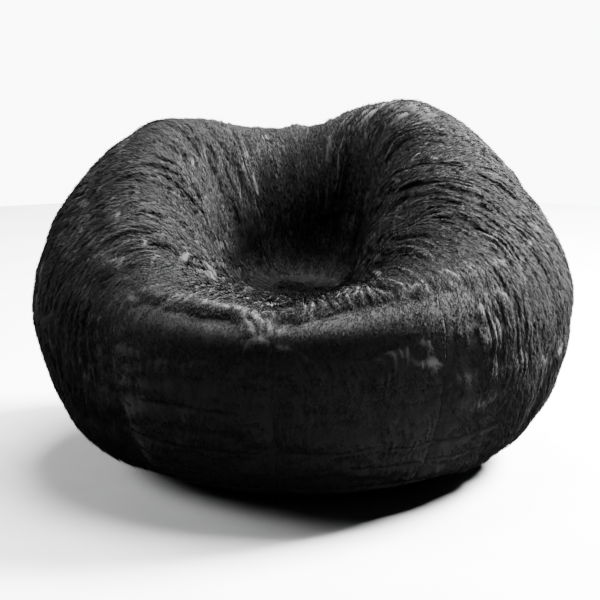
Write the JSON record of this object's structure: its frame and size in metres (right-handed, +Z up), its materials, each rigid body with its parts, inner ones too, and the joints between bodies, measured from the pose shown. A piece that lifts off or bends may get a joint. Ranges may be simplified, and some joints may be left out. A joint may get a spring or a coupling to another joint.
{
  "type": "bean bag chair",
  "caption": "Round fur-covered bean bag chair with a hollowed seat open to the front, over a zipped liner bag full of loose foam.",
  "frame": {"origin": "middle of the flat underside, on the floor, under the centre of the body", "axes": "+Z up; the seat opens towards -Y, so its high back is at +Y; +X to the right of someone looking at its front"},
  "size_m": [1.2165, 1.215, 0.7872],
  "materials": {
    "fur": "matte",
    "base_cloth": "matte",
    "liner_cloth": "matte",
    "foam": "matte",
    "zip_tape": "matte",
    "zip_coil": "satin",
    "zip_metal": "satin"
  },
  "bodies": {
    "bag": {"cover_gore_01": "fur", "cover_gore_02": "fur", "cover_gore_03": "fur", "cover_gore_04": "fur", "cover_gore_05": "fur", "cover_gore_06": "fur", "cover_gore_07": "fur", "cover_gore_08": "fur", "cover_gore_09": "fur", "cover_gore_10": "fur", "cover_crown_patch": "fur", "cover_base_panel": "base_cloth", "cover_seam_binding": "base_cloth", "cover_zip_tape_upper": "zip_tape", "cover_zip_tape_lower": "zip_tape", "cover_zip_coil_upper": "zip_coil", "cover_zip_coil_lower": "zip_coil", "cover_zip_stop_closed": "zip_metal", "cover_zip_stop_open": "zip_metal", "liner_panel_1": "liner_cloth", "liner_panel_2": "liner_cloth", "liner_panel_3": "liner_cloth", "liner_panel_4": "liner_cloth", "liner_crown_cap": "liner_cloth", "liner_base_panel": "liner_cloth", "liner_zip_tape_left": "zip_tape", "liner_zip_tape_right": "zip_tape", "liner_zip_coil_left": "zip_coil", "liner_zip_coil_right": "zip_coil", "liner_zip_stop_closed": "zip_metal", "liner_zip_stop_open": "zip_metal", "foam_filling": "foam"},
    "cover_slider": {"cover_zip_slider": "zip_metal"},
    "cover_pull": {"cover_zip_pull": "zip_metal"},
    "liner_slider": {"liner_zip_slider": "zip_metal"}
  },
  "joints": [
    {"name": "cover_zip_run", "type": "hinge", "parent": "bag", "child": "cover_slider", "pos_m": [0, 0, 0.052], "axis": [0, 0, 1], "range_deg": [0, 167]},
    {"name": "cover_pull_swing", "type": "hinge", "parent": "cover_slider", "child": "cover_pull", "pos_m": [0.46637, 0.04244, 0.05142], "axis": [0.8873, 0.0808, 0.454], "range_deg": [-70, 70]},
    {"name": "liner_zip_run", "type": "slide", "parent": "bag", "child": "liner_slider", "axis": [1, 0, 0], "range_m": [0, 0.384]}
  ]
}
